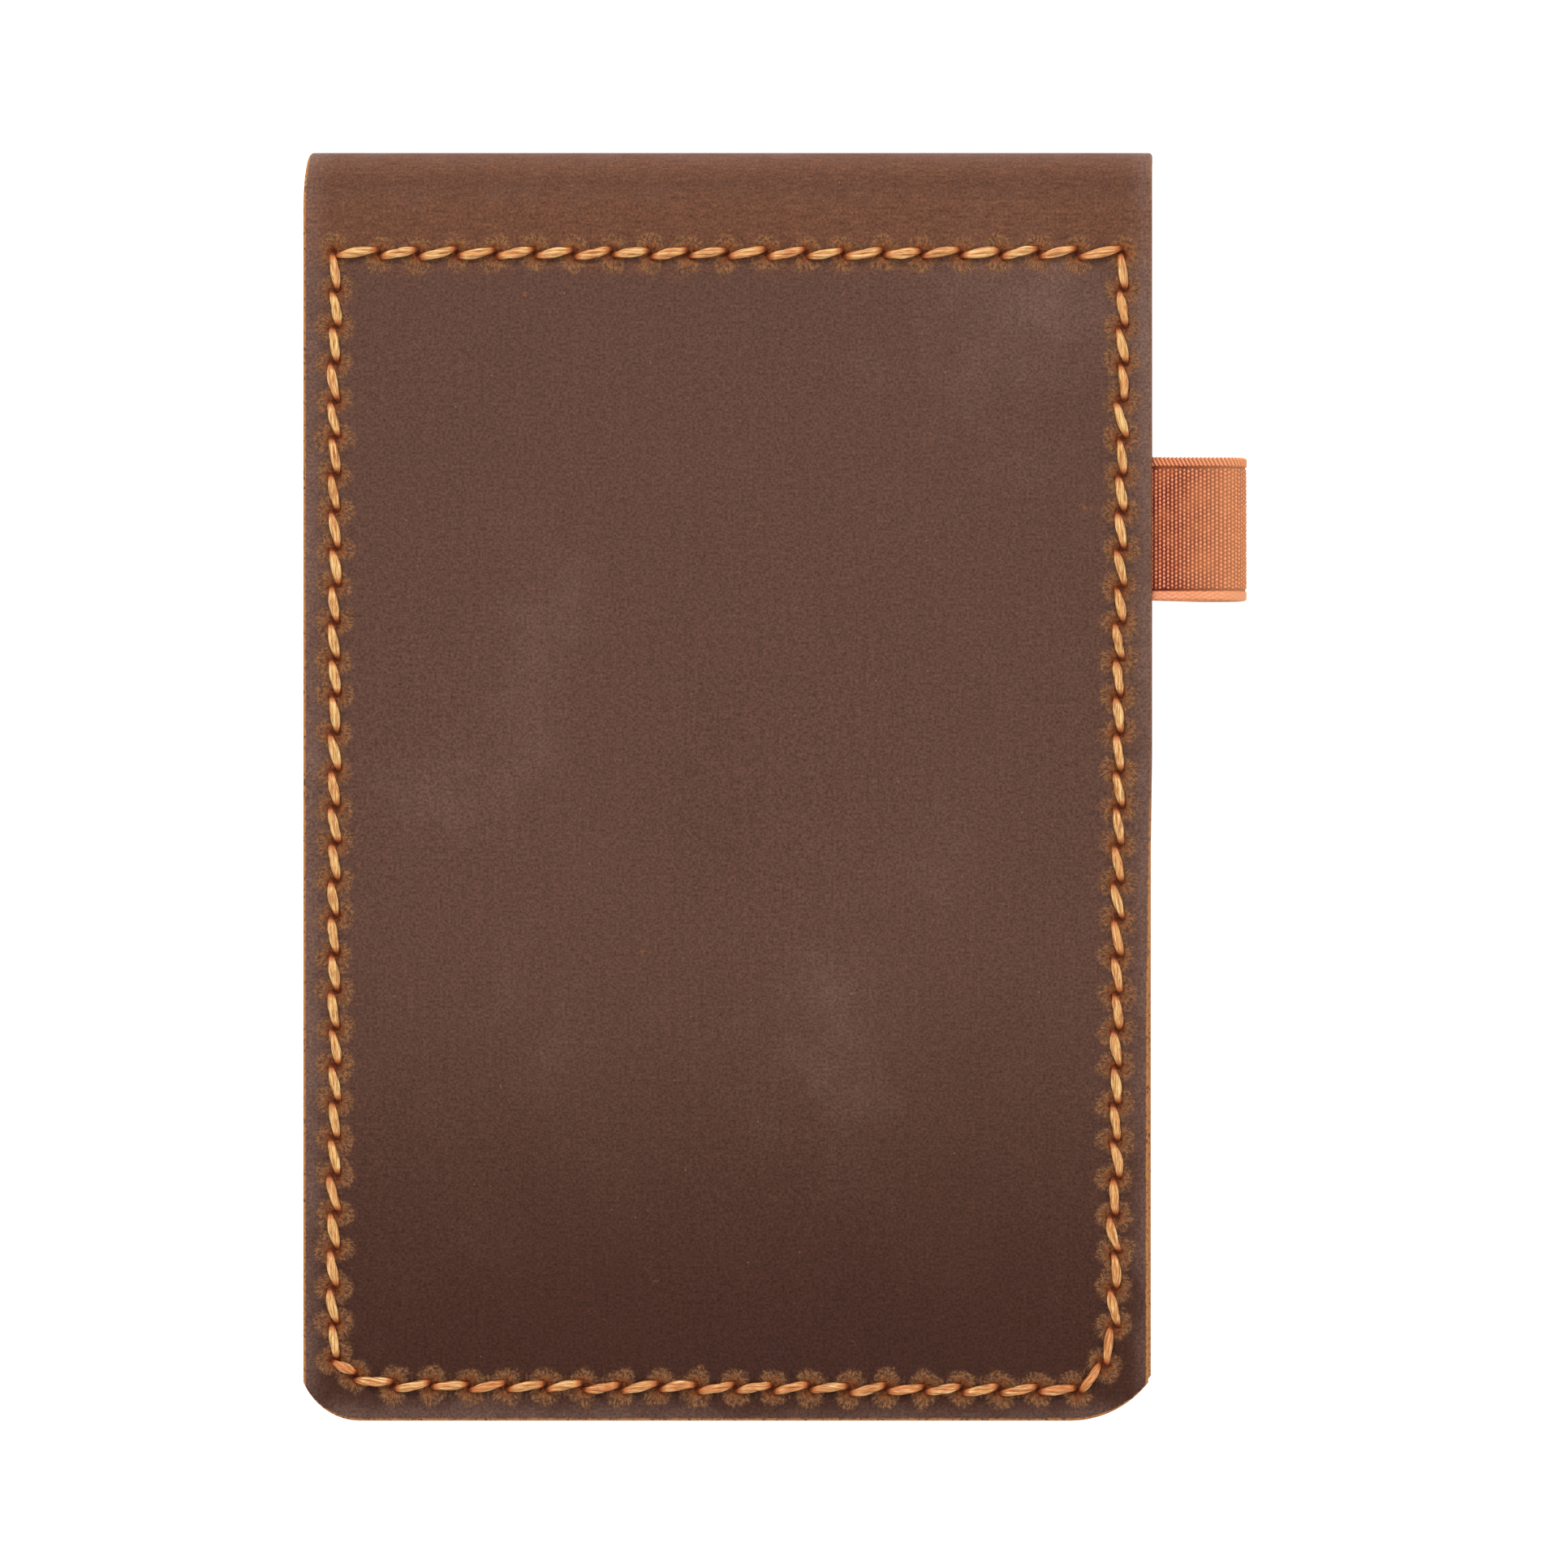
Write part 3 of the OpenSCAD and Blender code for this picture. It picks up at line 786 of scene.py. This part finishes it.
def hide_tone(x, s):
    """Where the hide is lighter (above 0) or darker: clouds, and a painted sheen along the margins outside
    the seams.
    """
    tone = 0 * x
    for x_mid, s_mid, x_reach, s_reach, amount in CLOUDS:
        far = ((x / MM - x_mid) / x_reach) ** 2 + ((s / MM - s_mid) / s_reach) ** 2
        tone = tone + amount * np.exp(-far)
    margin = np.minimum(np.minimum(x + HALF_W, HALF_W - x), s)
    # Painted sheen: the hide is painted lighter within a few millimetres of its bottom and side edges
    return tone + 0.45 * np.exp(-((margin / (2.4 * MM)) ** 2))


def relief_of(rows, pit, trough):
    """The relief of a piece that has nothing but its seams."""
    return lambda x, s: seam_relief(x, Y_BOTTOM + s, rows, pit, trough)


def front_relief(x, s):
    """The front panel's face: its seams, and soft waves that die out before the fold."""
    sunk, offset = seam_relief(x, Y_BOTTOM + s, FRONT_ROWS, 0.3 * MM, 0.18 * MM)
    wave = 0.05 * MM * np.sin(x / (13 * MM) + 1.2) * np.sin(s / (17 * MM) + 0.4)
    share = np.clip((S_FOLD - 8 * MM - s) / (10 * MM), 0, 1)
    return sunk + wave * share, offset


# The back panel's stitches sink in deeper, so that it lies flat
back_relief = relief_of(BACK_ROWS, 0.6 * MM, 0.55 * MM)


def outer_panels():
    """The flat parts of the hide, front and back."""
    x_bands, s_bands = seam_bands()
    xs = grid_lines(-HALF_W, HALF_W, 0.46 * MM, x_bands)
    ss = grid_lines(0.0, S_FOLD, 0.46 * MM, s_bands, ends=(True, False))
    plan = cover_plan(0.0, S_FOLD, trim=0.42 * MM)
    front = slab("front_hide", xs, ss, (0, OUTER_T), on_front, grain_front, plan, (True, False), front_relief)
    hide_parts("front_cover")
    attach(dress(front, "leather_outer"), "front")
    xs = grid_lines(-HALF_W, HALF_W, 0.8 * MM, x_bands)
    ss = grid_lines(0.0, S_FOLD, 0.8 * MM, s_bands, ends=(True, False))
    back = slab("back_hide", xs, ss, (0, OUTER_T), on_back, grain_back, plan, (True, False), back_relief)
    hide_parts("back_cover")
    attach(dress(back, "leather_outer"), "back")


def fold_pieces():
    """The half-round fold in two quarters, back and front."""
    xs = grid_lines(-HALF_W, HALF_W, 1.2 * MM)
    ss = np.linspace(S_FOLD, S_TOP, 49)
    for name, place, grain, body in (
        ("fold_back", on_back, grain_back, "back"),
        ("fold_front", on_front, grain_front, "front"),
    ):
        piece = slab(name, xs, ss, (0, OUTER_T), place, grain, free=(False, False), both=True)
        dress(piece, "leather_outer")
        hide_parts("spine")
        ends = [Vector(place(np.zeros(1), np.array([s]), np.zeros(1))[0]) for s in (S_FOLD, S_TOP)]
        if body == "back":
            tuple(ends[0])
            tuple(ends[1])
            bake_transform(piece)
        else:
            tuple(ends[1])
            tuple(ends[0])
            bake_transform(piece)


def linings():
    """The lining of each panel, sewn in all round."""
    x_bands, s_bands = seam_bands()
    s_end = Y_LINING - Y_BOTTOM
    inset = 0.05 * MM
    xs = grid_lines(-HALF_W + inset, HALF_W - inset, 0.9 * MM, x_bands)
    ss = grid_lines(inset, s_end, 0.9 * MM, s_bands)
    plan = cover_plan(inset, s_end)
    for name, node, place, grain, rows, body in (
        ("front_liner", "front_lining", on_front, grain_front, FRONT_ROWS, "front"),
        ("back_liner", "back_lining", on_back, grain_back, BACK_ROWS, "back"),
    ):
        relief = relief_of(rows, 0.5 * MM, 0.22 * MM)
        piece = slab(name, xs, ss, (LINING_D, OUTER_T), place, grain, plan, relief=relief, radius=0.35 * MM)
        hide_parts(node)
        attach(dress(piece, "leather_lining"), body)


def notch_lines():
    """Lines across a thumb notch, close together where its sides are steep."""
    return [NOTCH_R * math.sin(math.radians(a)) for a in range(-90, 91, 6)]


def pocket_grid(s_end):
    """Grid lines of a pocket that ends at s_end, with none of the seams near the fold."""
    x_bands, s_bands = seam_bands()
    half = HALF_W - POCKET_INSET
    xs = grid_lines(-half, half, 0.9 * MM, x_bands, extra=notch_lines())
    return xs, grid_lines(POCKET_INSET, s_end, 0.9 * MM, s_bands[1:])


def card_pocket():
    """The flat pocket on the inside of the front panel."""
    s_end = Y_CARD - Y_BOTTOM
    xs, ss = pocket_grid(s_end)
    relief = relief_of(FRONT_ROWS, 0.5 * MM, 0.22 * MM)
    plan = cover_plan(POCKET_INSET, s_end, NOTCH_R)
    piece = slab("card_sleeve", xs, ss, (POCKET_D, LINING_D), on_front, grain_front, plan, relief=relief,
                 radius=0.3 * MM)
    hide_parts("card_pocket")
    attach(dress(piece, "leather_lining"), "front")


def pad_pocket():
    """The pad's pocket stands up over the backing board and is flat at its seams."""
    board_lo, board_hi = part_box("pad_board")
    s_end = Y_PAD_POCKET - Y_BOTTOM
    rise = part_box("pad_pocket")[1].z - POCKET_D
    xs, ss = pocket_grid(s_end)

    ramp = 2.0 * MM

    def lift(x, s):
        beside = smooth((board_hi.x + 2.3 * MM - np.abs(x)) / ramp)
        below = smooth((Y_BOTTOM + s - (board_lo.y - 2.2 * MM)) / ramp)
        return rise * beside * below

    relief = relief_of(BACK_ROWS, 0.4 * MM, 0.18 * MM)
    plan = cover_plan(POCKET_INSET, s_end, NOTCH_R)
    piece = slab("pad_sleeve", xs, ss, (POCKET_D, LINING_D), on_back, grain_back, plan, relief=relief,
                 both=True, lift=lift, radius=0.3 * MM)
    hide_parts("pad_pocket")
    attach(dress(piece, "leather_lining"), "back")


# ---- thread


def stitch_strands(a, b, surface, sides, rings, wide, warmth):
    """The strands of a stitch from hole a to hole b. surface(x, y, h) gives the point h above the leather.
    The stitch leaves one end of a slanting slit and goes in at the other end of the next."""
    along = (b - a) / np.linalg.norm(b - a)
    aside = np.array((-along[1], along[0]))
    slant = rng.normal(0.42, 0.08) * MM
    start = a - aside * slant - along * 0.15 * MM
    stop = b + aside * slant + along * 0.15 * MM
    twist = rng.uniform(0.25, 0.55) * math.pi
    phase = rng.uniform(0, 2 * math.pi)
    bow = rng.normal(0, 0.1) * MM
    tint = np.clip(rng.normal(warmth, 0.16), 0, 1)
    t = np.linspace(0, 1, rings)[:, None]
    turn = np.linspace(0, 2 * math.pi, sides, endpoint=False)[None, :]
    middle = np.sin(np.pi * t)
    dive = 1 - np.clip(np.minimum(t, 1 - t) / 0.16, 0, 1)
    lift = 0.14 * MM + 0.26 * MM * middle**0.8 - 0.6 * MM * dive**2
    for k in range(STRANDS):
        place = phase + 2 * math.pi * k / STRANDS + twist * (2 * t - 1)
        spread = wide * (0.06 + 0.54 * middle**0.9) * rng.uniform(0.88, 1.12)
        radius = wide * (0.26 + 0.22 * middle**0.7) * rng.uniform(0.86, 1.14)
        side = bow * middle + spread * np.cos(place) + radius * np.cos(turn)
        h = lift + 0.62 * spread * np.sin(place) + 0.85 * radius * np.sin(turn)
        x = start[0] + (stop[0] - start[0]) * t + aside[0] * side
        y = start[1] + (stop[1] - start[1]) * t + aside[1] * side
        strand = np.stack([np.cos(turn) * 0.5 + k + 0 * t, t + 0 * turn, tint + 0 * t + 0 * turn], axis=-1)
        yield surface(x, y, h), strand


def tube_faces(rings, sides, start):
    """Quads round a tube, closed by one face at each end."""
    index = start + np.arange(rings * sides).reshape(rings, sides)
    after = np.roll(index, -1, axis=1)
    quads = np.stack([index[:-1], after[:-1], after[1:], index[1:]], axis=-1).reshape(-1, 4)
    return quads.tolist() + [index[0, ::-1].tolist(), index[-1].tolist()]


def leg_points(p, place, depth_a, depth_b):
    """The thread where it goes through the leather, between two depths."""
    turn = np.linspace(0, 2 * math.pi, 8, endpoint=False)[None, :]
    depth = np.array([[depth_a], [depth_b]])
    radius = 0.36 * MM
    x = p[0] + radius * np.cos(turn) + 0 * depth
    y = p[1] + radius * np.sin(turn) + 0 * depth
    strand = np.stack([np.cos(turn) * 0.5 + 0 * depth, 0 * x, 0 * x], axis=-1)
    return place(x, y - Y_BOTTOM, depth + 0 * turn), strand


def sew(name, node, body, points, place, outer_depth, y_pocket, warmth):
    """All the stitches of one row, on both faces of a panel, and the legs between them."""
    parts, strands, faces, count = [], [], [], 0
    under = 0.7 * MM

    def add(made, strand):
        nonlocal count
        rings, sides = made.shape[:2]
        parts.append(made.reshape(-1, 3))
        strands.append(strand.reshape(-1, 3))
        faces.extend(tube_faces(rings, sides, count))
        count += rings * sides

    def inner_depth(y):
        return POCKET_D if y < y_pocket else LINING_D

    for a, b in zip(points[:-1], points[1:]):
        def outside(x, y, h):
            return place(x, y - Y_BOTTOM, outer_depth - h)

        for made, strand in stitch_strands(a, b, outside, sides=10, rings=22, wide=0.51 * MM, warmth=warmth):
            add(made, strand)
        deep = inner_depth((a[1] + b[1]) / 2)

        def inside(x, y, h, deep=deep):
            return place(x, y - Y_BOTTOM, deep + h)

        for made, strand in stitch_strands(a, b, inside, sides=6, rings=12, wide=0.42 * MM, warmth=warmth):
            add(made, strand)
    for p in points[:-1]:
        made, strand = leg_points(p, place, outer_depth + under, inner_depth(p[1]) - under)
        add(made, strand)
    obj = make_object(name, np.concatenate(parts), faces, math.radians(60))
    set_vector(obj, "strand", np.concatenate(strands))
    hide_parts(node)
    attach(dress(obj, "thread"), body)


def all_thread():
    """Every row of stitches. Some rows are browner than others, and those on the back sink in."""
    warmths = {"top": 0.5, "left": 0.15, "right": 0.35, "bottom": 0.85}
    sunk = 0.62 * MM
    for side, warmth in warmths.items():
        front, back = FRONT_ROWS[side], BACK_ROWS[side]
        sew(f"front_stitches_{side}", f"front_thread_{side}", "front", front, on_front, 0.0, Y_CARD, warmth)
        sew(f"back_stitches_{side}", f"back_thread_{side}", "back", back, on_back, sunk, Y_PAD_POCKET, warmth)


# ---- pen loop


def loop_path():
    """The elastic's middle line in X and Z, from one sewn end round to the other, and its length."""
    lo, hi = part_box("pen_loop")
    tail_lo, tail_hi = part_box("pen_loop_tails")
    thick = (tail_hi.z - tail_lo.z) / 2
    radius = (hi.z - lo.z) / 2 - thick / 2
    centre = (hi.x - thick / 2 - radius + LOOP_SLACK, (hi.z + lo.z) / 2)
    top, low = tail_hi.z - thick / 2, tail_lo.z + thick / 2
    mouth = HALF_W + 0.3 * MM
    start, end = (tail_lo.x, top), (tail_lo.x, low)
    # The lower run leaves the round end on the line that just touches it
    gap = math.hypot(centre[0] - mouth, centre[1] - low)
    lean = math.atan2(centre[1] - low, centre[0] - mouth)
    touch = lean - math.asin(radius / gap)
    leave = touch - math.pi / 2
    turn = np.linspace(math.pi / 2, leave, 90)
    arc = np.stack([centre[0] + radius * np.cos(turn), centre[1] + radius * np.sin(turn)], axis=-1)
    route = np.concatenate([[start], [(centre[0], top)], arc, [(mouth, low)], [end]])
    length = np.concatenate([[0], np.cumsum(np.linalg.norm(np.diff(route, axis=0), axis=1))])
    return route, length, thick


def pen_loop():
    """The elastic as one knitted band: ribs across it, beads along each rib and a plain edge either side."""
    route, length, thick = loop_path()
    lo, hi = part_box("pen_loop")
    pitch = 0.44 * MM
    per_pitch = 6
    edge_band = 1.1 * MM
    steps = int(length[-1] / pitch) * per_pitch
    across = int((hi.y - lo.y) / pitch) * per_pitch
    u = np.linspace(0, length[-1], steps)
    v = np.linspace(lo.y, hi.y, across)
    centre = np.stack([np.interp(u, length, route[:, 0]), np.interp(u, length, route[:, 1])], axis=-1)
    normal = side_normals(centre)
    uu, vv = np.meshgrid(u, v, indexing="ij")
    edge = np.minimum(vv - lo.y, hi.y - vv)
    upper = vv > 0.5 * (lo.y + hi.y)
    column = np.floor(uu / pitch)
    share = uu / pitch - column
    index = column.astype(int)
    columns = index.max() + 1
    jitter = rng.uniform(-0.12, 0.12, columns)[index] + 0.5 * (column % 2)
    step = vv / pitch + jitter + 0.55 * np.abs(share - 0.5)
    ripple = rng.uniform(0.75, 1.0, (columns, across))[index, np.floor(step).astype(int) % across]
    rib = np.sin(math.pi * share)
    bead = np.abs(np.sin(math.pi * step))
    body = np.clip((edge - edge_band) / (0.12 * MM), 0, 1)
    groove = np.exp(-(((edge - edge_band - 0.05 * MM) / (0.13 * MM)) ** 2))
    knit = rib * (0.25 + 0.75 * bead) * ripple
    loops = 0.5 + 0.5 * np.cos(2 * math.pi * (uu / pitch + 0.5 * vv / pitch))
    selvedge = np.where(upper, 0.25 + 0.75 * loops, 0.62 + 0.2 * bead)
    height = np.clip(body * knit + (1 - body) * selvedge - 0.75 * groove, 0, 1)
    thin = rounding(edge, 0.3 * MM)
    fringe = (1 - np.clip(edge / (0.6 * MM), 0, 1)) * np.where(upper, 0.16 * MM * (loops - 1), 0)
    parts, knits = [], []
    for side in (1, -1):
        out = side * (thick / 2 - thin + 0.22 * MM * (height - 1))
        x = centre[:, 0, None] + normal[:, 0, None] * out
        z = centre[:, 1, None] + normal[:, 1, None] * out
        parts.append(np.stack([x, vv + fringe, z], axis=-1).reshape(-1, 3))
        knits.append(np.stack([height, uu, vv], axis=-1).reshape(-1, 3))
    obj = make_object("elastic_band", np.concatenate(parts), shell_faces(steps, across))
    set_vector(obj, "knit", np.concatenate(knits))
    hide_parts("pen_loop", "pen_loop_tails")
    dress(obj, "elastic")
    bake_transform(obj)


# ---- memo pad


def profile_heights(y, heights):
    """Height of a leaf at y: over the pocket low down, and on the board near the binding."""
    (y_step, y_top), (low, high) = heights
    return low + (high - low) * smooth((y - y_step) / (y_top - y_step))


def rounded_leaf(x_half, y_lo, y_hi, bottom, thick):
    """A thin sheet with rounded lower corners. bottom(y) gives the height of its underside."""
    corner = 1.2 * MM
    xs = np.concatenate([np.linspace(-x_half, -x_half + corner, 5), np.linspace(x_half - corner, x_half, 5)])
    ys = np.concatenate([np.linspace(y_lo, y_lo + corner, 5), np.linspace(y_lo + 4 * MM, y_hi, 34)])
    x, y = (a.ravel() for a in np.meshgrid(xs, ys))
    x, y = corner_round(x, y, -x_half, y_lo, ((corner, 0), (corner, 0)), x_half)
    z = bottom(y)
    low = np.stack([x, y, z], axis=-1)
    high = np.stack([x, y, z + thick], axis=-1)
    return np.concatenate([low, high]), shell_faces(len(ys), len(xs))


def pad_leaves():
    """The sheets of the pad, each its own leaf and none quite in line with the next."""
    lo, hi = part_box("pad_sheets")
    board_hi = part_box("pad_board")[1]
    pocket_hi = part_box("pad_pocket")[1]
    count = 36
    gap = 0.05 * MM
    low_stack = (pocket_hi.z + gap, board_hi.z + gap)
    stack = hi.z - low_stack[0]
    pitch = stack / count
    turn_y = (Y_PAD_POCKET + 5 * MM, Y_PAD_POCKET + 17 * MM)
    points, faces, start = [], [], 0
    inset = 0.1 * MM
    curl_run = 26 * MM
    for i in range(count):
        shift_x, shift_y = rng.normal(0, 0.07 * MM, 2)
        curl = 0.25 * MM * (i / count) ** 6

        def bottom(y, i=i, curl=curl):
            base = profile_heights(y, (turn_y, low_stack)) + i * pitch
            return base + curl * np.clip((lo.y + curl_run - y) / curl_run, 0, 1) ** 2

        made, quads = rounded_leaf(hi.x - inset, lo.y + inset + abs(shift_y), hi.y, bottom, pitch * 0.72)
        made[:, 0] += shift_x * 0.8
        points.append(made)
        faces += [[v + start for v in q] for q in quads]
        start += len(made)
    obj = make_object("memo_leaves", np.concatenate(points), faces)
    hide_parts("pad_sheets")
    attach(dress(obj, "paper"), "back")


def pad_board():
    """The backing board, flat under the leaves."""
    lo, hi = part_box("pad_board")
    points, faces = rounded_leaf(hi.x, lo.y, hi.y, lambda y: lo.z + 0 * y, hi.z - lo.z)
    obj = make_object("backing_board", points, faces)
    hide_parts("pad_board")
    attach(dress(obj, "board"), "back")


def pad_binding():
    """The strip that wraps the pad's top end, from the board round to the first leaf."""
    lo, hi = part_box("pad_binding")
    thick = 0.22 * MM
    bend = 0.7 * MM
    mid_lo, mid_hi = lo.z + thick / 2, hi.z - thick / 2
    end_y = hi.y - thick / 2
    quarter = np.linspace(0, math.pi / 2, 9)
    corner = [(end_y - bend + bend * math.sin(a), mid_lo + bend - bend * math.cos(a)) for a in quarter]
    over = [(y, mid_lo + mid_hi - z) for y, z in corner[::-1]]
    flat = np.linspace(lo.y, end_y - bend - 0.1 * MM, 12)
    route = np.array([(y, mid_lo) for y in flat] + corner + over + [(y, mid_hi) for y in flat[::-1]])
    normal = -side_normals(route)
    columns = 60
    xs = np.linspace(lo.x, hi.x, columns)
    ragged = rng.normal(0, 0.05 * MM, columns)
    parts = []
    for side in (1, -1):
        edge = route + normal * side * thick / 2
        x = xs[None, :] + 0 * edge[:, :1]
        y = edge[:, :1] + np.where(np.arange(len(route))[:, None] % (len(route) - 1) == 0, ragged[None, :], 0)
        z = edge[:, 1:] + 0 * xs[None, :]
        parts.append(np.stack([x, y, z], axis=-1).reshape(-1, 3))
    obj = make_object("binding_strip", np.concatenate(parts), shell_faces(len(route), columns))
    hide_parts("pad_binding")
    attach(dress(obj, "binding"), "back")


# ---- stage


def floor():
    """A white table, just clear of the stitches under the back panel."""
    bpy.ops.mesh.primitive_plane_add(size=4, location=(0, 0, -TABLE_GAP))
    plane = bpy.context.object
    plane.name = "floor"
    plane.data.materials.append(pale_floor())


def soft_light(name, place, aim, size, power):
    """A round lamp of the given size, turned towards aim."""
    data = bpy.data.lights.new(name, "AREA")
    data.shape = "DISK"
    data.size = size
    data.energy = power
    lamp = bpy.data.objects.new(name, data)
    bpy.context.scene.collection.objects.link(lamp)
    lamp.location = place
    lamp.rotation_euler = (Vector(aim) - Vector(place)).to_track_quat("-Z", "Y").to_euler()


def lights():
    """A white studio, a key lamp beyond the fold and a weaker fill on the near right."""
    world = bpy.data.worlds.new("studio")
    bpy.context.scene.world = world
    world.use_nodes = True
    background = world.node_tree.nodes["Background"]
    background.inputs["Color"].default_value = (1.0, 1.0, 1.0, 1.0)
    background.inputs["Strength"].default_value = 0.85
    soft_light("key", (-0.25, 0.75, 0.75), (0, 0, 0), 0.5, 9.0)
    soft_light("fill", (0.5, -0.5, 0.9), (0, 0, 0), 0.9, 3.0)


def camera():
    """Straight above the middle of the cover and its loop."""
    distance = 720 * MM
    middle = (6.1 * MM, 0)
    field = 169.8 * MM
    sensor = 36.0
    data = bpy.data.cameras.new("camera")
    data.sensor_width = sensor
    data.lens = sensor * distance / field
    data.clip_start = 0.01
    data.clip_end = 20
    obj = bpy.data.objects.new("camera", data)
    bpy.context.scene.collection.objects.link(obj)
    obj.location = (*middle, CLOSED_T + distance)
    obj.rotation_euler = (0, 0, 0)
    bpy.context.scene.camera = obj


def look():
    """Plain display, so that colours come out as they are made."""
    view = bpy.context.scene.view_settings
    view.view_transform = "Standard"
    view.look = "None"
    view.exposure = 0.0
    view.gamma = 1.0


camera()
outer_panels()
fold_pieces()
linings()
card_pocket()
pad_pocket()
all_thread()
pen_loop()
pad_leaves()
pad_board()
pad_binding()
floor()
lights()
look()
